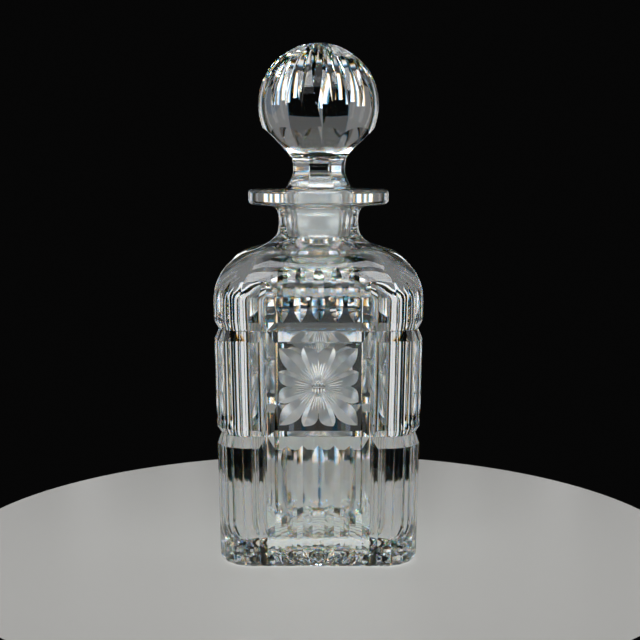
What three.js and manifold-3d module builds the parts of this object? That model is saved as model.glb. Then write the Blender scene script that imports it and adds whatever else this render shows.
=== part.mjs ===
// Square cut crystal decanter with a fluted ball stopper.
//
// Millimetres, +Z up. The origin is the middle of the flat ring that the decanter stands on,
// and the front panel faces -Y. Two separate pieces: the bottle and the stopper.

import * as THREE from "three";
import { ConvexGeometry } from "three/addons/geometries/ConvexGeometry.js";
import { mergeVertices } from "three/addons/utils/BufferGeometryUtils.js";
import Module from "manifold-3d";

// ------------------------------------------------------------------ bottle, outside
const BODY_WIDTH = 95.4; // across the flats, where the upright walls end
const BASE_WIDTH = 91.2; // across the flats, just above the base bevel
const WALL_HEIGHT = 121.6; // where the upright walls end
const SHOULDER_RISE = 28.2; // from there to the root of the neck
const NECK_HEIGHT = 14.0; // from the root of the neck to the underside of the rim
const NECK_DIAMETER = 37.8; // at its waist
const NECK_ROOT_DIAMETER = 40.4; // where the shoulder sweeps into it
const RIM_DIAMETER = 66.8;
const RIM_THICKNESS = 7.9;
const RIM_EDGE_ROUND = 2.2; // rounding of the rim's top edge
const CORNER_RADIUS = 16; // the upright corner that the pillar facets touch
const BASE_BEVEL_IN = 2.9;
const BASE_BEVEL_UP = 4.0;

// ------------------------------------------------------------------ bottle, inside
const WALL = 7.6; // wall thickness behind an uncut panel
const FLOOR = 11.5; // floor thickness at the foot of each panel
const KICK_UP = 2.8; // rise of the floor's middle above that
const CORNER_DIP = 6.5; // how much lower the floor is in the corners
const INNER_CORNER_RADIUS = 20;
const FLOOR_ROUND = 9.0; // radius where the floor turns up into the walls
const THROAT_BELOW_NECK = 3.1; // the ground bore ends this far below the root of the neck
const BORE_MOUTH_DIAMETER = 22.2; // ground bore at the rim
const BORE_TAPER = 0.1; // change of diameter along the ground bore
const MOUTH_CHAMFER = 0.9;

// ------------------------------------------------------------------ cuts round the body
const UPPER_GROOVE_Z = 109.2;
const LOWER_GROOVE_Z = 61.0;
const UPPER_GROOVE = { depth: 2.1, up: 4.1, down: 4.8 };
const LOWER_GROOVE = { depth: 2.1, up: 3.1, down: 5.1 };
const SIDE_GROOVE_X = 23.3; // root of each upright groove, from the middle of its panel
const SIDE_GROOVE_WIDTH = 7.2;
const SIDE_GROOVE_DEPTH = 2.2;

const FLUTES = 5; // in each upper and lower panel
const UPPER_FLUTE = { pitch: 8.0, width: 6.0, depth: 1.5, tip: 6.0, shy: 0.4 };
const LOWER_FLUTE = { pitch: 7.1, width: 5.4, depth: 1.4, tip: 6.0, over: 1.2 };

// The star in each middle panel: a long leaf to every corner and a short one on either side.
const CORNER_LEAF = { inner: 3.4, waist: 16, full: 20, outer: 24.8, left: 4.1, right: 4.1, depth: 1.3 };
const SIDE_LEAF = { inner: 3.4, waist: 13.3, full: 16.8, outer: 19.2, left: 2.2, right: 4.8, depth: 1.1 };
const LEAF_LEAN = 24.5; // degrees from a corner leaf to the short ones beside it

const BASE_STAR_RAYS = 24; // cut into the underside
const BASE_RAY = { inner: 2.5, waist: 24.0, outer: 37.0, width: 5.6, depth: 1.5 };

// ------------------------------------------------------------------ stopper
const BALL_DIAMETER = 57.2;
const BALL_ABOVE_RIM = 39.7; // middle of the ball above the rim
const BALL_FLUTES = 24;
const BALL_FLUTE = { depth: 1.5, halfAngle: 61, top: 7, bottom: 95 }; // degrees from the pole
const BALL_FLUTE_TURN = 1.3; // degrees that the flutes are turned from square to the bottle
const COLLAR_WIDTH = 30.4; // across the flats, on the rim
const WAIST_WIDTH = 24.2; // across the flats, at the stopper's waist
const WAIST_ABOVE_RIM = 9.4;
const STOPPER_PANELS = 8;
const PANEL_TURN = 4; // degrees that the panels are turned from square to the bottle
const PEG_LENGTH = 27.5;
const JOINT_GAP = 0.3; // all round the peg, in the bore
const SEAT_GAP = 0.3; // between the collar and the rim
const PEG_CHAMFER = 0.9;

// ------------------------------------------------------------------ derived places
const neckRootZ = WALL_HEIGHT + SHOULDER_RISE;
const rimTopZ = neckRootZ + NECK_HEIGHT + RIM_THICKNESS;
const ballZ = rimTopZ + BALL_ABOVE_RIM;

const deg = THREE.MathUtils.degToRad;
const SIDES = 16; // four panels and three pillar facets at each corner
const STEPS = 3; // segments along each side of a section
const SEGMENTS = SIDES * STEPS;

// Half width of the upright wall at height z.
function wallAt(z) {
  const t = (z - BASE_BEVEL_UP) / (WALL_HEIGHT - BASE_BEVEL_UP);
  return (BASE_WIDTH + t * (BODY_WIDTH - BASE_WIDTH)) / 2;
}

// ------------------------------------------------------------------ solids
const wasm = await Module();
wasm.setup();

function solidOf(geometry) {
  const bare = geometry.clone();
  bare.deleteAttribute("normal");
  bare.deleteAttribute("uv");
  const merged = mergeVertices(bare, 1e-4);
  const vertProperties = new Float32Array(merged.attributes.position.array);
  const triVerts = [];
  const index = merged.index.array;
  for (let i = 0; i < index.length; i += 3) {
    const [a, b, c] = [index[i], index[i + 1], index[i + 2]];
    if (a !== b && b !== c && c !== a) {
      triVerts.push(a, b, c);
    }
  }
  const mesh = new wasm.Mesh({ numProp: 3, vertProperties, triVerts: new Uint32Array(triVerts) });
  return new wasm.Manifold(mesh);
}

function geometryOf(solid) {
  const mesh = solid.getMesh();
  const geometry = new THREE.BufferGeometry();
  const position = new Float32Array(mesh.vertProperties);
  geometry.setAttribute("position", new THREE.BufferAttribute(position, 3));
  geometry.setIndex(new THREE.BufferAttribute(new Uint32Array(mesh.triVerts), 1));
  geometry.computeVertexNormals();
  return geometry;
}

// One point of a section: half width `a`, corner radius `r`, and `round` from 0, where each
// corner is three flat facets, to 1, where it is an arc.
function sectionPoint(j, { a, r, round }) {
  const side = Math.floor(j / STEPS) % SIDES;
  const step = (j % STEPS) / STEPS;
  const f = a - r;
  const reach = r * (1 + (1 - round) * (1 / Math.cos(Math.PI / SIDES) - 1));
  const corner = (angle) => {
    const quarter = Math.floor(angle / 90);
    const cx = [f, -f, -f, f][((quarter % 4) + 4) % 4];
    const cy = [f, f, -f, -f][((quarter % 4) + 4) % 4];
    return new THREE.Vector2(cx, cy);
  };
  const from = side * (360 / SIDES) - 180 / SIDES;
  const to = from + 360 / SIDES;
  const at = (angle, centre) =>
    new THREE.Vector2(Math.cos(deg(angle)), Math.sin(deg(angle))).multiplyScalar(reach).add(centre);
  const chord = at(from, corner(from)).lerp(at(to, corner(to)), step);
  if (step === 0 || round === 0) {
    return chord;
  }
  const angle = from + (to - from) * step;
  const arc = at(angle, corner(angle));
  return chord.lerp(arc, round);
}

// A lathe blank whose rings are drawn out from round to square, so that it is closed and even.
// Each ring is { z, a, r, round, dip }, and the first and last lie on the axis with a = 0. A
// ring with a dip is that much lower at its corners than along its sides.
function squareLathe(rings) {
  const profile = rings.map((ring) => new THREE.Vector2(ring.a, ring.z));
  const geometry = new THREE.LatheGeometry(profile, SEGMENTS);
  const position = geometry.attributes.position;
  for (let j = 0; j <= SEGMENTS; j += 1) {
    for (let i = 0; i < rings.length; i += 1) {
      const ring = rings[i];
      const p = ring.a > 0 ? sectionPoint(j % SEGMENTS, ring) : new THREE.Vector2(0, 0);
      let z = ring.z;
      if (ring.dip) {
        const toCorner = (p.length() - ring.a) / ((Math.SQRT2 - 1) * (ring.a - ring.r));
        z -= ring.dip * THREE.MathUtils.smoothstep(toCorner, 0, 1);
      }
      position.setXYZ(j * rings.length + i, p.x, p.y, z);
    }
  }
  return geometry;
}

// ------------------------------------------------------------------ bottle blank
// The shoulder as shares of its rise and of its run from the walls in to the neck.
const SHOULDER_CURVE = [
  [0.0, 0.0],
  [0.2, 0.018],
  [0.37, 0.07],
  [0.5, 0.15],
  [0.62, 0.275],
  [0.713, 0.42],
  [0.763, 0.545],
  [0.815, 0.72],
  [0.905, 0.9],
  [1.0, 1.0],
];

function outerRings() {
  const rings = [{ z: 0, a: 0, r: 0, round: 0 }];
  const upright = (z, inset) => ({ z, a: wallAt(z) - inset, r: CORNER_RADIUS - inset, round: 0 });
  rings.push(upright(0, BASE_BEVEL_IN));
  rings.push(upright(BASE_BEVEL_UP * 0.3, BASE_BEVEL_IN * 0.45));
  rings.push(upright(BASE_BEVEL_UP, 0));
  for (const [z, groove] of [
    [LOWER_GROOVE_Z, LOWER_GROOVE],
    [UPPER_GROOVE_Z, UPPER_GROOVE],
  ]) {
    rings.push(upright(z - groove.down, 0));
    rings.push(upright(z, groove.depth));
    rings.push(upright(z + groove.up, 0));
  }
  const run = (BODY_WIDTH - NECK_ROOT_DIAMETER) / 2;
  for (const [rise, inward] of SHOULDER_CURVE) {
    const a = BODY_WIDTH / 2 - run * inward;
    const r = THREE.MathUtils.lerp(CORNER_RADIUS, NECK_ROOT_DIAMETER / 2, inward);
    rings.push({ z: WALL_HEIGHT + SHOULDER_RISE * rise, a, r, round: Math.min(1, rise * 2.2) });
  }
  const circle = (z, a) => rings.push({ z, a, r: a, round: 1 });
  const waist = NECK_DIAMETER / 2;
  const rim = RIM_DIAMETER / 2;
  const rimUnder = neckRootZ + NECK_HEIGHT;
  circle(neckRootZ + NECK_HEIGHT * 0.16, waist + 0.45);
  circle(neckRootZ + NECK_HEIGHT * 0.45, waist);
  circle(neckRootZ + NECK_HEIGHT * 0.75, waist + 0.4);
  circle(rimUnder - 1.0, waist + 1.9);
  circle(rimUnder, waist + 5.0);
  circle(rimUnder + 0.5, rim - 3.4);
  circle(rimUnder + 0.9, rim - 1.5);
  circle(rimUnder + 1.7, rim - 0.4);
  circle(rimUnder + 2.9, rim);
  circle(rimTopZ - RIM_EDGE_ROUND * 0.8, rim);
  circle(rimTopZ - RIM_EDGE_ROUND * 0.25, rim - RIM_EDGE_ROUND * 0.35);
  circle(rimTopZ, rim - RIM_EDGE_ROUND * 0.8);
  return rings;
}

// Radius of the ground bore at height z.
function boreAt(z) {
  return (BORE_MOUTH_DIAMETER - (rimTopZ - z) * BORE_TAPER) / 2;
}

function innerRings() {
  const rings = [];
  const circle = (z, a) => rings.push({ z, a, r: a, round: 1 });
  circle(rimTopZ, boreAt(rimTopZ) + MOUTH_CHAMFER);
  circle(rimTopZ - MOUTH_CHAMFER, boreAt(rimTopZ - MOUTH_CHAMFER));
  const boreEnd = neckRootZ - THROAT_BELOW_NECK;
  const throat = boreAt(boreEnd);
  circle(boreEnd, throat);
  const top = WALL_HEIGHT;
  const run = wallAt(top) - WALL - throat;
  // From the throat down and out under the shoulder.
  for (const [drop, outward] of [
    [0.18, 0.06],
    [0.3, 0.2],
    [0.4, 0.42],
    [0.53, 0.68],
    [0.68, 0.87],
    [0.85, 0.97],
    [1.0, 1.0],
  ]) {
    const z = THREE.MathUtils.lerp(boreEnd, top, drop);
    const a = throat + run * outward;
    rings.push({ z, a, r: THREE.MathUtils.lerp(throat, INNER_CORNER_RADIUS, outward), round: 1 });
  }
  const low = FLOOR + FLOOR_ROUND;
  const foot = wallAt(low) - WALL;
  rings.push({ z: low + 4, a: wallAt(low + 4) - WALL, r: INNER_CORNER_RADIUS, round: 1 });
  for (const turn of [0, 30, 60, 90]) {
    const inset = FLOOR_ROUND * (1 - Math.cos(deg(turn)));
    rings.push({
      z: low - FLOOR_ROUND * Math.sin(deg(turn)),
      a: foot - inset,
      r: INNER_CORNER_RADIUS - inset * 0.8,
      round: 1,
      dip: CORNER_DIP * (0.3 + 0.7 * Math.sin(deg(turn))),
    });
  }
  rings.push({ z: FLOOR + KICK_UP * 0.6, a: foot * 0.4, r: foot * 0.4, round: 1 });
  rings.push({ z: FLOOR + KICK_UP, a: 0, r: 0, round: 1 });
  return rings;
}

// ------------------------------------------------------------------ wheel cuts
const OUT = 6; // how far a cutter stands out of the glass

// Turns front-panel coordinates (across, height, outward from the wall) to a point on panel n.
function onPanel(n, x, z, outward) {
  return new THREE.Vector3(x, -(wallAt(z) + outward), z).applyAxisAngle(
    new THREE.Vector3(0, 0, 1),
    deg(90 * n)
  );
}

// An upright V cut on a panel from z0 to z1. `tip0` and `tip1` are how far its ends taper to a
// point, and 0 leaves an end square.
function uprightCut(n, x, z0, z1, width, depth, tip0, tip1) {
  const points = [];
  const w = width / 2;
  for (const [end, tip, way] of [
    [z0, tip0, 1],
    [z1, tip1, -1],
  ]) {
    const z = end + way * tip;
    points.push(onPanel(n, x, z, -depth));
    for (const s of [-1, 1]) {
      points.push(onPanel(n, x + s * w, z, 0), onPanel(n, x + s * w * 1.6, z, OUT));
    }
    if (tip > 0) {
      points.push(onPanel(n, x, end, 0), onPanel(n, x, end - way, OUT));
    }
  }
  return solidOf(new ConvexGeometry(points));
}

// A pointed leaf of the star on a panel, at an angle from the panel's level middle line. Its
// root lies nearer to one edge when `left` and `right` differ, and `flip` swaps them.
function leafCut(n, z, angle, leaf, flip) {
  const place = (along, across, outward) =>
    onPanel(
      n,
      along * Math.cos(angle) - across * Math.sin(angle),
      z + along * Math.sin(angle) + across * Math.cos(angle),
      outward
    );
  const left = flip ? leaf.right : leaf.left;
  const right = flip ? leaf.left : leaf.right;
  const points = [
    place(leaf.inner, 0, 0),
    place(leaf.outer, 0, 0),
    place(leaf.waist, 0, OUT / 3),
  ];
  for (const [along, share] of [
    [leaf.waist, 1],
    [leaf.full, 0.75],
  ]) {
    points.push(place(along, left * share, 0), place(along, -right * share, 0));
    points.push(place(along, 0, -leaf.depth * share));
  }
  return solidOf(new ConvexGeometry(points));
}

// A pointed ray of the star on the underside.
function baseRayCut(angle) {
  const place = (along, across, z) =>
    new THREE.Vector3(along, across, z).applyAxisAngle(new THREE.Vector3(0, 0, 1), angle);
  const w = BASE_RAY.width / 2;
  const points = [
    place(BASE_RAY.inner, 0, 0),
    place(BASE_RAY.outer, 0, 0),
    place(BASE_RAY.waist, w, 0),
    place(BASE_RAY.waist, -w, 0),
    place(BASE_RAY.waist, 0, BASE_RAY.depth),
    place(BASE_RAY.waist, 0, -OUT / 3),
  ];
  return solidOf(new ConvexGeometry(points));
}

function bottle() {
  let glass = solidOf(squareLathe([...outerRings(), ...innerRings()]));
  const cut = (cutter) => {
    glass = glass.subtract(cutter);
  };
  const panelFoot = LOWER_GROOVE_Z - LOWER_GROOVE.down;
  const panelHead = UPPER_GROOVE_Z + UPPER_GROOVE.up;
  const starLow = LOWER_GROOVE_Z + LOWER_GROOVE.up;
  const starHigh = UPPER_GROOVE_Z - UPPER_GROOVE.down;
  for (let n = 0; n < 4; n += 1) {
    for (const side of [-1, 1]) {
      const x = side * SIDE_GROOVE_X;
      cut(uprightCut(n, x, -OUT, neckRootZ, SIDE_GROOVE_WIDTH, SIDE_GROOVE_DEPTH, 0, 0));
    }
    for (let i = 0; i < FLUTES; i += 1) {
      const k = i - (FLUTES - 1) / 2;
      const u = UPPER_FLUTE;
      cut(uprightCut(n, k * u.pitch, panelHead + u.shy, neckRootZ, u.width, u.depth, u.tip, 0));
      const l = LOWER_FLUTE;
      cut(uprightCut(n, k * l.pitch, -OUT, panelFoot + l.over, l.width, l.depth, 0, l.tip));
    }
    for (let i = 0; i < 4; i += 1) {
      const corner = deg(45 + 90 * i);
      const middle = (starLow + starHigh) / 2;
      cut(leafCut(n, middle, corner, CORNER_LEAF, false));
      cut(leafCut(n, middle, corner - deg(LEAF_LEAN), SIDE_LEAF, false));
      cut(leafCut(n, middle, corner + deg(LEAF_LEAN), SIDE_LEAF, true));
    }
  }
  for (let i = 0; i < BASE_STAR_RAYS; i += 1) {
    cut(baseRayCut(((i + 0.5) * 2 * Math.PI) / BASE_STAR_RAYS));
  }
  return geometryOf(glass);
}

// ------------------------------------------------------------------ stopper
// One flute of the ball is the path of a V-edged wheel along an arc that dips below the ball
// between two meridian angles: a ring of V section, lying in the meridian plane.
function ballFlute(turn) {
  const radius = BALL_DIAMETER / 2;
  const { depth, halfAngle, top, bottom } = BALL_FLUTE;
  const half = deg((bottom - top) / 2);
  const chord = radius * Math.sin(half);
  const sag = radius * (1 - Math.cos(half)) - depth;
  const path = (chord * chord + sag * sag) / (2 * sag);
  const w = OUT * Math.tan(deg(halfAngle));
  const section = [
    new THREE.Vector2(path, 0),
    new THREE.Vector2(path + OUT, -w),
    new THREE.Vector2(path + OUT, w),
    new THREE.Vector2(path, 0),
  ];
  const ring = new THREE.LatheGeometry(section, 48);
  // The lathe turns about Y: its middle goes back along the flute's own direction, in XZ.
  const tilt = deg((bottom + top) / 2);
  const back = radius - depth - path;
  ring.translate(back * Math.sin(tilt), 0, back * Math.cos(tilt));
  ring.rotateZ(turn);
  return solidOf(ring);
}

function stopperPanelled(profile) {
  const points = profile.map(([apothem, z]) => {
    return new THREE.Vector2(apothem / Math.cos(Math.PI / STOPPER_PANELS), z);
  });
  const geometry = new THREE.LatheGeometry(points, STOPPER_PANELS);
  geometry.rotateX(Math.PI / 2);
  geometry.rotateZ(deg(180 / STOPPER_PANELS + PANEL_TURN));
  return solidOf(geometry);
}

function stopperGeometry() {
  // Modelled with z = 0 at the rim.
  const radius = BALL_DIAMETER / 2;
  const sphere = new THREE.SphereGeometry(radius, 48, 16);
  sphere.rotateX(Math.PI / 2);
  let ball = solidOf(sphere);
  for (let i = 0; i < BALL_FLUTES; i += 1) {
    ball = ball.subtract(ballFlute(deg((i * 360) / BALL_FLUTES - 90 - BALL_FLUTE_TURN)));
  }
  ball = ball.translate([0, 0, BALL_ABOVE_RIM]);
  const waist = WAIST_WIDTH / 2;
  const collar = COLLAR_WIDTH / 2;
  // The blank under the ball is cut back to eight panels, which run out in the ball's underside.
  const blankTop = WAIST_ABOVE_RIM + 6.8;
  const blank = new THREE.CylinderGeometry(radius * 1.3, radius * 1.3, blankTop - SEAT_GAP, 48, 1);
  blank.rotateX(Math.PI / 2);
  blank.translate(0, 0, (blankTop + SEAT_GAP) / 2);
  const panels = stopperPanelled([
    [0, SEAT_GAP],
    [collar, SEAT_GAP],
    [collar - 0.3, SEAT_GAP + 1.0],
    [waist + 1.1, WAIST_ABOVE_RIM * 0.5],
    [waist + 0.2, WAIST_ABOVE_RIM * 0.8],
    [waist, WAIST_ABOVE_RIM],
    [waist + 0.2, WAIST_ABOVE_RIM + 3.0],
    [waist + 1.1, WAIST_ABOVE_RIM + 6.0],
    [waist + 3.7, WAIST_ABOVE_RIM + 9.3],
    [waist + 7.4, WAIST_ABOVE_RIM + 12.7],
    [waist + 10.7, WAIST_ABOVE_RIM + 16.0],
    [waist + 13.9, WAIST_ABOVE_RIM + 18.9],
    [waist + 18.0, WAIST_ABOVE_RIM + 22.0],
    [radius * 1.3, BALL_ABOVE_RIM + radius + 5],
    [0, BALL_ABOVE_RIM + radius + 5],
  ]);
  const top = ball.add(solidOf(blank)).intersect(panels);
  const pegAt = (z) => boreAt(rimTopZ + z) - JOINT_GAP;
  const end = -PEG_LENGTH;
  const pegProfile = [
    [0, end],
    [pegAt(end) - PEG_CHAMFER, end],
    [pegAt(end), end + PEG_CHAMFER],
    [pegAt(0), 0],
    [pegAt(0), SEAT_GAP + 1.5],
    [0, SEAT_GAP + 1.5],
  ].map(([x, y]) => new THREE.Vector2(x, y));
  const peg = new THREE.LatheGeometry(pegProfile, 48);
  peg.rotateX(Math.PI / 2);
  return geometryOf(top.add(solidOf(peg)));
}

// ------------------------------------------------------------------ scene graph
const crystal = new THREE.MeshStandardMaterial({ color: 0xc9cdca, roughness: 0.04, metalness: 0 });
const stopperCrystal = new THREE.MeshStandardMaterial({
  color: 0xd2d5d1,
  roughness: 0.05,
  metalness: 0,
});

const decanter = new THREE.Group();

const body = new THREE.Mesh(bottle(), crystal);
body.name = "decanter_body";
decanter.add(body);

const lift = new THREE.Group(); // moves up with the stopper, from its seat on the rim
lift.position.set(0, 0, rimTopZ);
const stopper = new THREE.Mesh(stopperGeometry(), stopperCrystal);
stopper.name = "stopper";
lift.add(stopper);
decanter.add(lift);

export default decanter;
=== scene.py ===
"""Square cut crystal decanter with a fluted ball stopper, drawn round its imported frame."""

import math

import bmesh
import bpy
from bpy.props import FloatProperty, IntProperty, PointerProperty, StringProperty
from mathutils import Matrix, Vector


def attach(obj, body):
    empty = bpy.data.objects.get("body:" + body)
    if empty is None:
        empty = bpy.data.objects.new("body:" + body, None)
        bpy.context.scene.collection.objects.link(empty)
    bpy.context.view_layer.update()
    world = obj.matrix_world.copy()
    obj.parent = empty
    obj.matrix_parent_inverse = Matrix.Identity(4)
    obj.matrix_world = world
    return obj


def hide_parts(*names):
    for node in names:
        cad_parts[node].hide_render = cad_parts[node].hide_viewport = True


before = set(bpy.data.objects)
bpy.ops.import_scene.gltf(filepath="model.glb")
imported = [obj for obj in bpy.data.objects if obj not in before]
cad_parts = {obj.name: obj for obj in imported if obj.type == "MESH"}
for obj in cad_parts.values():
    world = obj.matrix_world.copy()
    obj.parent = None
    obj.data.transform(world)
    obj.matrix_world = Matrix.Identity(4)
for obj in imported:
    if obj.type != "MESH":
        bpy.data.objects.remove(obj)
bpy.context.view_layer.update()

bl_info = {
    "name": "Cut Crystal Decanter",
    "version": (1, 0, 0),
    "blender": (4, 5, 0),
    "location": "View3D > Sidebar > Decanter",
    "description": "Builds a square cut crystal decanter, its stopper and a plain studio",
    "category": "Add Mesh",
}

MM = 0.001
BORE_TAPER = 0.1  # change of diameter along the ground joint
LOWER_GROOVE_UP, LOWER_GROOVE_DOWN = 3.1 * MM, 5.1 * MM  # from a groove's root to its edges
UPPER_GROOVE_UP, UPPER_GROOVE_DOWN = 4.1 * MM, 4.8 * MM
EDGE_SOFTENING = 0.3 * MM  # of the level grooves
BORE_CHAMFER = 0.9 * MM
PEG_CHAMFER = 0.9 * MM
SEAT_GAP = 0.3 * MM  # between the stopper's collar and the rim
STOPPER_PANELS = 8
PANEL_TURN = 4  # degrees that the stopper's panels are turned from square to the bottle
FLUTE_TURN = 1.3  # degrees that the ball's flutes are turned from square to the bottle
FLUTE_HALF_ANGLE = 61.0  # of the V that the ball's wheel leaves
FLUTE_ENDS = (7, 95)  # degrees from the pole
BLANK_DEPTH = 60 * MM  # of the cylinder under the ball that the stopper's neck is cut from
STAR_REACH = 26 * MM  # all of a star's leaves end inside this
LEAF_RIDGE = 15  # degrees from a corner leaf to the ridge beside it
NEEDLES = 48  # fine mitres round the middle of each star
NEEDLE_REACH = (12.4, 10.6, 11.8, 11.0)  # in mm, of the first four needles and of each next four
STUDIO_FLOOR_RADIUS = 0.18
STUDIO_FLOOR_DROP = 0.2 * MM  # keeps the floor clear of the base
ROOM_GLOW = (0.002, 0.002, 0.002, 1)  # linear, of the dark room
CAMERA_PLACE = (0.0007, -0.6, 0.1827)
CAMERA_DOWN = 7.03  # degrees under level
CAMERA_LENS = 70.4
SENSOR_WIDTH = 36.0


def length(name, description, millimetres):
    return FloatProperty(
        name=name,
        description=description,
        default=millimetres * MM,
        min=0.0,
        unit="LENGTH",
        subtype="DISTANCE",
        precision=5,
    )


# ---------------------------------------------------------------- sizes


class BottleSizes(bpy.types.PropertyGroup):
    """Outside and inside of the uncut bottle."""

    body_width: length("Body width", "Across the flats at the top of the walls", 95.4)
    base_width: length("Base width", "Across the flats just above the base bevel", 91.2)
    wall_height: length("Wall height", "Where the upright walls end", 121.6)
    shoulder_rise: length("Shoulder rise", "From the walls to the root of the neck", 28.2)
    neck_height: length("Neck height", "From its root to the underside of the rim", 14.0)
    neck_diameter: length("Neck diameter", "At the waist of the neck", 37.8)
    neck_root: length("Neck root diameter", "Where the shoulder sweeps into the neck", 40.4)
    rim_diameter: length("Rim diameter", "Of the flat disc rim", 66.8)
    rim_thickness: length("Rim thickness", "Of the flat disc rim", 7.9)
    rim_round: length("Rim edge rounding", "Of the rim's top edge", 2.2)
    corner_radius: length("Corner radius", "Circle that the pillar facets touch", 16.0)
    bevel_in: length("Base bevel in", "How far the base edge is turned in", 2.9)
    bevel_up: length("Base bevel height", "How high the base edge is turned in", 4.0)
    wall: length("Wall", "Glass thickness behind an uncut panel", 7.6)
    floor: length("Floor", "Floor thickness at the foot of each panel", 11.5)
    kick_up: length("Kick-up", "Rise of the floor's middle above that", 2.8)
    corner_dip: length("Corner dip", "How much lower the floor is in the corners", 6.5)
    inner_radius: length("Inner corner radius", "Of the upright inner corners", 20.0)
    floor_round: length("Floor rounding", "Where the floor turns up into the walls", 9.0)
    throat_drop: length("Throat drop", "The bore ends this far below the neck root", 3.1)
    bore_mouth: length("Bore mouth diameter", "Ground bore at the rim", 22.2)


class CutSizes(bpy.types.PropertyGroup):
    """Wheel cuts round the bottle."""

    upper_groove: length("Upper groove height", "Root of the upper level groove", 109.2)
    lower_groove: length("Lower groove height", "Root of the lower level groove", 61.0)
    groove_depth: length("Groove depth", "Of both level grooves", 2.1)
    side_groove: length("Side groove place", "From the middle of a panel", 23.3)
    side_width: length("Side groove width", "Of each upright groove", 7.2)
    side_depth: length("Side groove depth", "Of each upright groove", 2.2)
    flutes: IntProperty(name="Flutes", description="In a panel", default=5, min=1, max=9)
    upper_pitch: length("Upper flute pitch", "Between flutes of an upper panel", 8.0)
    upper_width: length("Upper flute width", "Of each flute of an upper panel", 6.0)
    upper_depth: length("Upper flute depth", "Of each flute of an upper panel", 1.5)
    lower_pitch: length("Lower flute pitch", "Between flutes of a lower panel", 7.1)
    lower_width: length("Lower flute width", "Of each flute of a lower panel", 5.4)
    lower_depth: length("Lower flute depth", "Of each flute of a lower panel", 1.4)
    star_radius: length("Star waist radius", "Where the leaves of a star part", 13.3)
    leaf_depth: length("Leaf depth", "Of the shorter leaves at the waist", 1.1)
    leaf_lean: FloatProperty(
        name="Leaf lean", description="Degrees from a corner leaf to the next", default=24.5
    )
    corner_leaf: length("Corner leaf", "Tip of the longer leaves from the middle", 24.8)
    side_leaf: length("Side leaf", "Tip of the shorter leaves from the middle", 19.2)
    base_rays: IntProperty(name="Base rays", description="Under the base", default=24, min=8)
    base_radius: length("Base star radius", "Reach of the rays under the base", 37.0)


class StopperSizes(bpy.types.PropertyGroup):
    """The stopper, above the rim and in the neck."""

    ball: length("Ball diameter", "Of the uncut ball", 57.2)
    ball_rise: length("Ball rise", "Middle of the ball above the rim", 39.7)
    flutes: IntProperty(name="Flutes", description="Round the ball", default=24, min=6)
    flute_depth: length("Flute depth", "Of each flute of the ball", 1.5)
    collar: length("Collar width", "Across the flats, on the rim", 30.4)
    waist: length("Waist width", "Across the flats, at the narrowest", 24.2)
    waist_rise: length("Waist rise", "Of the narrowest place above the rim", 9.4)
    peg_length: length("Peg length", "Of the ground peg below the rim", 27.5)
    joint_gap: length("Joint gap", "All round the ground peg", 0.3)


class FinishSettings(bpy.types.PropertyGroup):
    """Colours and surface of the glass and the studio."""

    ior: FloatProperty(name="IOR", description="Of lead crystal", default=1.546, min=1.3, max=2.0)
    spread: FloatProperty(
        name="Dispersion",
        description="IOR of blue or red light away from the middle",
        default=0.03,
        min=0.0,
    )
    glass_tint: StringProperty(name="Glass tint", description="sRGB hex", default="#FBFCFC")
    floor_colour: StringProperty(name="Floor colour", description="sRGB hex", default="#BDBCB9")


# ---------------------------------------------------------------- mesh helpers


def draw_through(bm, stations):
    """Draws a loop through the stations, each a list of as many points, by extruding it, and
    closes both ends."""
    count = len(stations[0])
    step = bm.verts.layers.int.get("step") or bm.verts.layers.int.new("step")
    loop = bmesh.ops.create_circle(bm, cap_ends=False, segments=count, radius=1.0)["verts"]
    for j, vert in enumerate(loop):
        vert[step] = j
        vert.co = stations[0][j]
    first = edges = list(dict.fromkeys(e for v in loop for e in v.link_edges))
    for points in stations[1:]:
        made = bmesh.ops.extrude_edge_only(bm, edges=edges)["geom"]
        fresh = {g for g in made if isinstance(g, bmesh.types.BMVert)}
        for vert in fresh:
            vert.co = points[vert[step]]
        edges = [g for g in made if isinstance(g, bmesh.types.BMEdge) and set(g.verts) <= fresh]
    bmesh.ops.contextual_create(bm, geom=first)
    bmesh.ops.contextual_create(bm, geom=edges)


def finished(bm, name):
    """Turns the faces outwards and hands back a new object at the origin."""
    bmesh.ops.recalc_face_normals(bm, faces=bm.faces)
    mesh = bpy.data.meshes.new(name)
    bm.to_mesh(mesh)
    bm.free()
    piece = bpy.data.objects.new(name, mesh)
    bpy.context.scene.collection.objects.link(piece)
    return piece


def boolean(piece, tool, operation="DIFFERENCE"):
    """Cuts or joins a piece with a tool piece, which is used up."""
    modifier = piece.modifiers.new(operation.lower(), "BOOLEAN")
    modifier.operation = operation
    modifier.solver = "MANIFOLD"
    modifier.object = tool
    shape = piece.evaluated_get(bpy.context.evaluated_depsgraph_get())
    mesh = bpy.data.meshes.new_from_object(shape)
    piece.modifiers.clear()
    mesh.materials.clear()
    old = piece.data
    piece.data = mesh
    mesh.name = piece.name
    bpy.data.meshes.remove(old)
    used = tool.data
    bpy.data.objects.remove(tool)
    bpy.data.meshes.remove(used)


def faceted(piece, angle=9.5):
    """Smooth where the glass was blown, crisp where a wheel left an edge."""
    mesh = piece.data
    for layer in [a.name for a in mesh.attributes if a.name == "step"]:
        mesh.attributes.remove(mesh.attributes[layer])
    mesh.polygons.foreach_set("use_smooth", [True] * len(mesh.polygons))
    mesh.set_sharp_from_angle(angle=math.radians(angle))
    mesh.update()


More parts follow.
